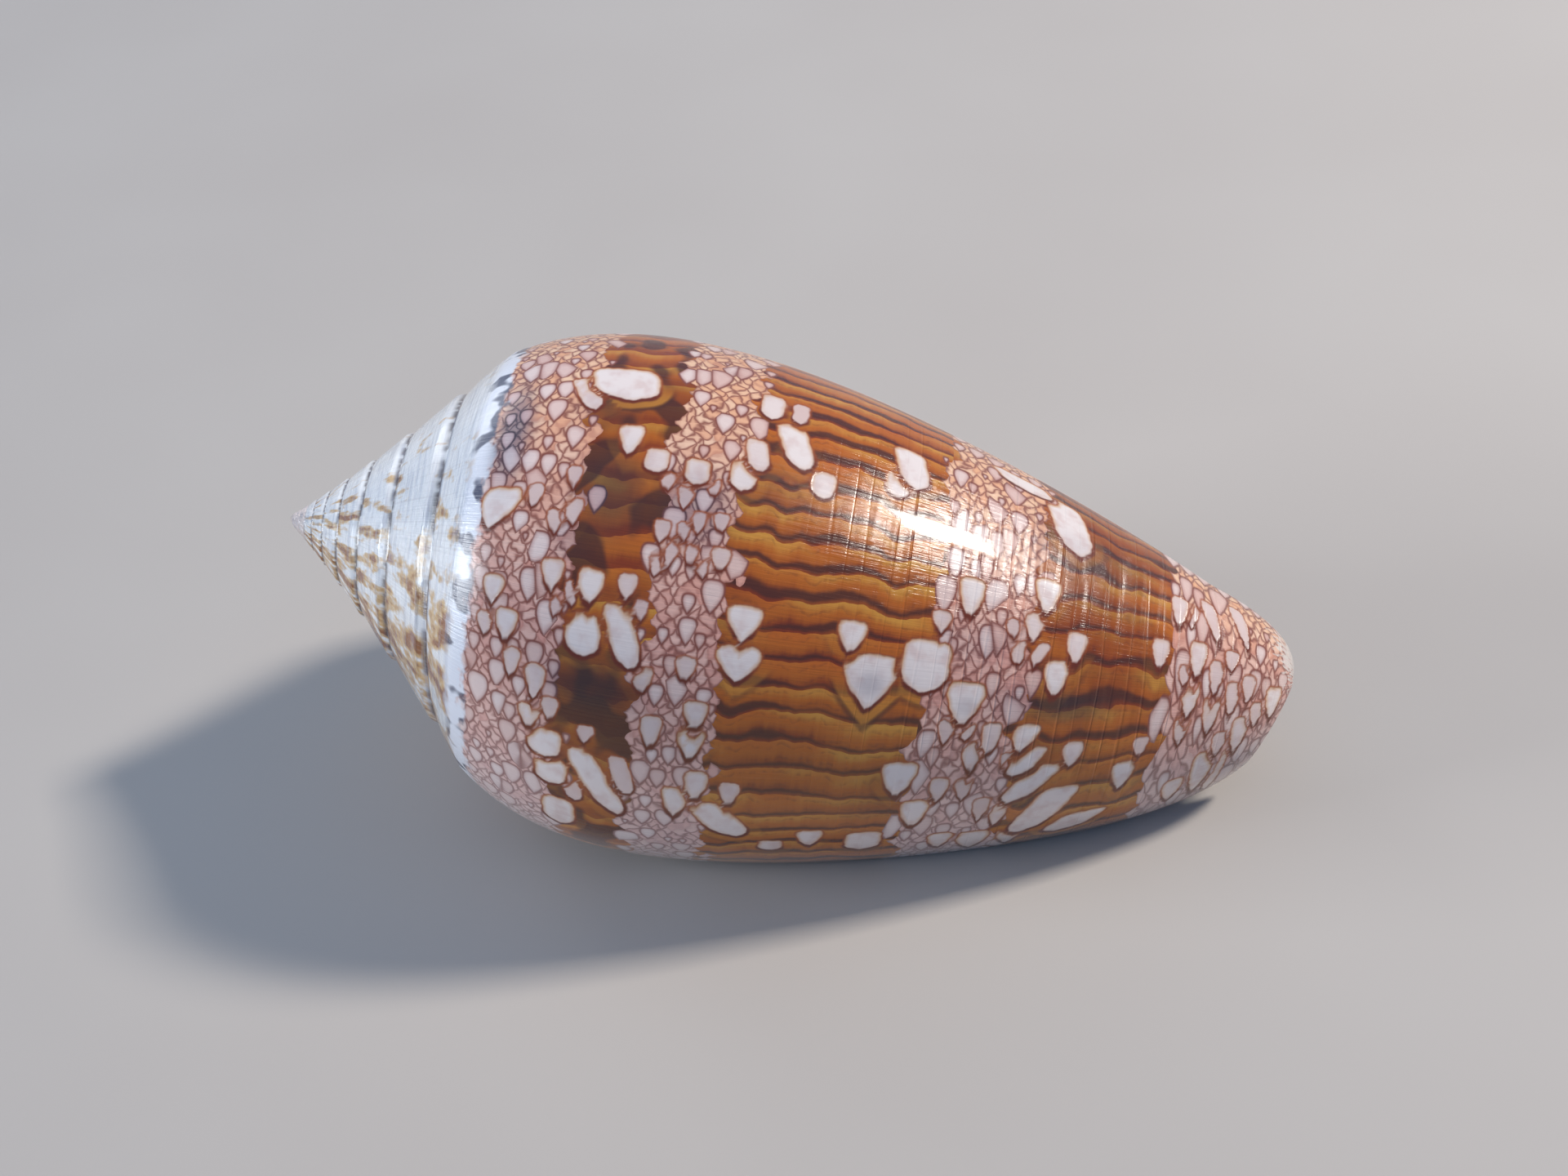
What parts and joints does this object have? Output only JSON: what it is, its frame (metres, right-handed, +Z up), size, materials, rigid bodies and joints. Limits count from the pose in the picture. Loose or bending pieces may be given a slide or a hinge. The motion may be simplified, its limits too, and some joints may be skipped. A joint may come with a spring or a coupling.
{
  "type": "cone shell",
  "caption": "Glossy cone-shaped sea snail shell with a low stepped spire, white tent marks over orange-brown bands and a long narrow opening, lying on its opening.",
  "frame": {"origin": "middle of the bounding box, on the surface that the shell lies on", "axes": "+Z up; +X from the apex of the spire towards the front tip; the outer lip is under the -Y side"},
  "size_m": [0.0686, 0.0338, 0.0317],
  "materials": {
    "shell": "polished natural shell, white tents outlined in dark brown over orange-brown bands, white spire"
  },
  "bodies": {
    "root": {"shell": "shell"}
  },
  "joints": []
}
